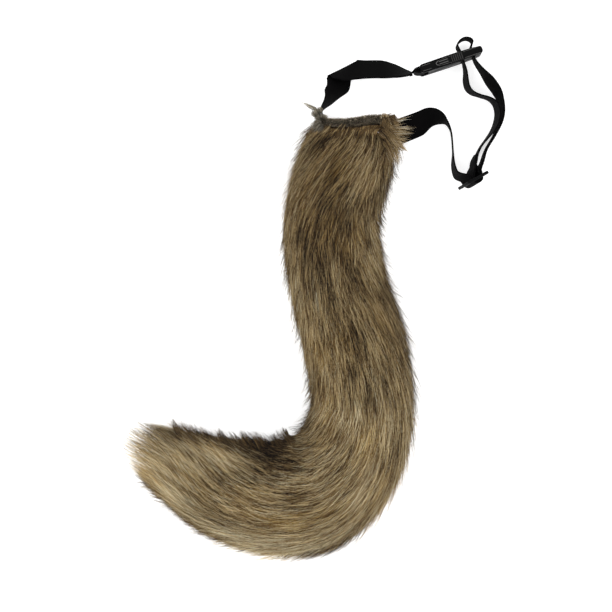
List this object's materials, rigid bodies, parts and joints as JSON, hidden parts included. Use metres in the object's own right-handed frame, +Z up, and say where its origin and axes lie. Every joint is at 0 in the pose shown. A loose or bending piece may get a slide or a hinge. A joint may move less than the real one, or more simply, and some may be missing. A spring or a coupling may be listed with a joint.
{
  "type": "costume animal tail on a waist belt",
  "caption": "Curved plush costume tail of long mottled fur with a hemmed top, on an adjustable webbing waist belt with a side-release buckle, lying flat.",
  "frame": {"origin": "middle of the whole lying object's footprint, on the surface that it lies on", "axes": "+Z up off the surface, +Y from the tail's bend to its hem and belt, +X away from the side that the tip curls to"},
  "size_m": [0.3726, 0.519, 0.0759],
  "materials": {
    "fur": "long faux fur pile, brown-grey with tan and near-black streaks",
    "hem_cloth": "short brushed pile, grey-brown and mottled",
    "webbing": "black woven webbing, matte",
    "plastic": "black moulded plastic, satin"
  },
  "bodies": {
    "root": {"fur_tail": "fur", "top_hem": "hem_cloth", "strap_short": "webbing", "strap_long": "webbing", "buckle_socket": "plastic", "buckle_plug": "plastic", "slider": "plastic"}
  },
  "joints": []
}
